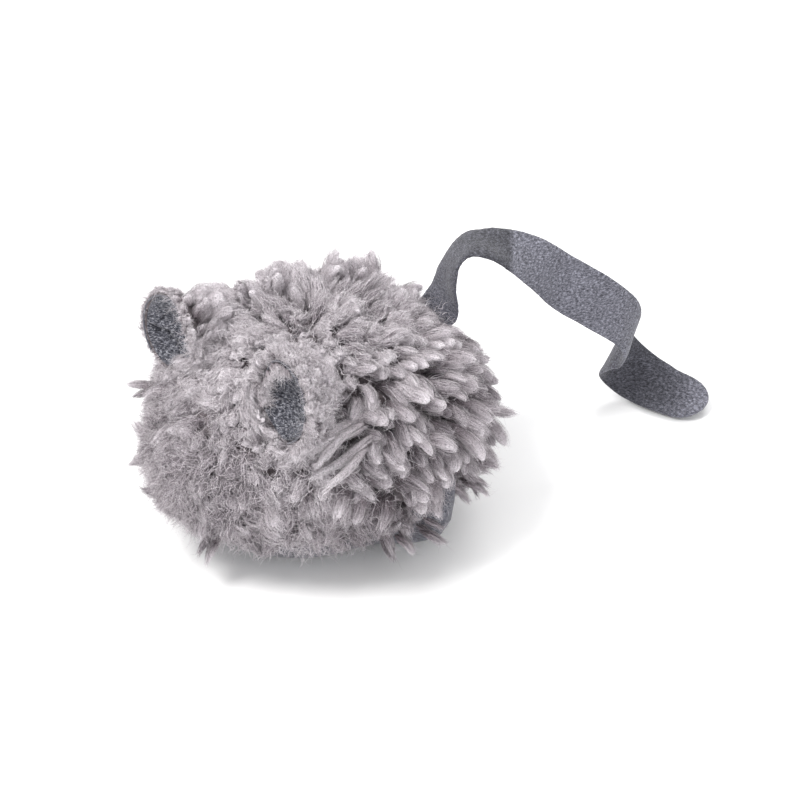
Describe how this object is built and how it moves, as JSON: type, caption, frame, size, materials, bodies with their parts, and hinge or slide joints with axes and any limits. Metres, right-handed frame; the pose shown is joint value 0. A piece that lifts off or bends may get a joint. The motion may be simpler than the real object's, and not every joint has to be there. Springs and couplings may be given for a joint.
{
  "type": "catnip mouse",
  "caption": "Plush catnip mouse toy with a rounded long-pile body, cupped felt-lined ears and a flat folded felt tail strip",
  "frame": {"origin": "middle of the flat of the belly, where the toy rests on the floor", "axes": "nose towards -Y, tail towards +Y, the mouse's left side +X, up +Z"},
  "size_m": [0.0885, 0.1634, 0.0669],
  "materials": {
    "plush": "long-pile mauve-grey plush, matt",
    "slate_felt": "slate melange felt, matt",
    "thread": "spun polyester sewing thread",
    "fibre": "loose white polyester fibre",
    "pouch": "non-woven pouch sheet",
    "herb": "dried crushed herb"
  },
  "bodies": {
    "body": {"plush_side_left": "plush", "plush_side_right": "plush", "belly_panel": "slate_felt", "belly_seam_thread": "thread", "back_seam_thread": "thread", "closing_stitch_thread": "thread", "filling_front": "fibre", "filling_rear": "fibre", "sachet_upper_sheet": "pouch", "sachet_lower_sheet": "pouch", "catnip_herb": "herb"},
    "ear_left": {"ear_left_lining": "slate_felt", "ear_left_back": "plush", "ear_left_edge_thread": "thread", "ear_left_root_thread": "thread"},
    "ear_right": {"ear_right_lining": "slate_felt", "ear_right_back": "plush", "ear_right_edge_thread": "thread", "ear_right_root_thread": "thread"},
    "tail_root": {"tail_root_thread": "thread"},
    "tail": {"tail_strip": "slate_felt"}
  },
  "joints": [
    {"name": "ear_left_fold", "type": "hinge", "parent": "body", "child": "ear_left", "pos_m": [0.01179, -0.02216, 0.0501], "axis": [0.3043, -0.1736, -0.9366], "range_deg": [-15, 30], "stiffness_Nm_per_rad": 0.008},
    {"name": "ear_right_fold", "type": "hinge", "parent": "body", "child": "ear_right", "pos_m": [-0.01179, -0.02216, 0.0501], "axis": [0.173, 0.0872, 0.9811], "range_deg": [-15, 30], "stiffness_Nm_per_rad": 0.008},
    {"name": "tail_lift", "type": "hinge", "parent": "body", "child": "tail_root", "pos_m": [0, 0.04237, 0.04125], "axis": [1, 0, 0], "range_deg": [-3, 25], "stiffness_Nm_per_rad": 0.04},
    {"name": "tail_swing", "type": "hinge", "parent": "tail_root", "child": "tail", "pos_m": [0, 0.04237, 0.04125], "axis": [0, 0, 1], "range_deg": [-20, 20], "stiffness_Nm_per_rad": 0.04}
  ]
}
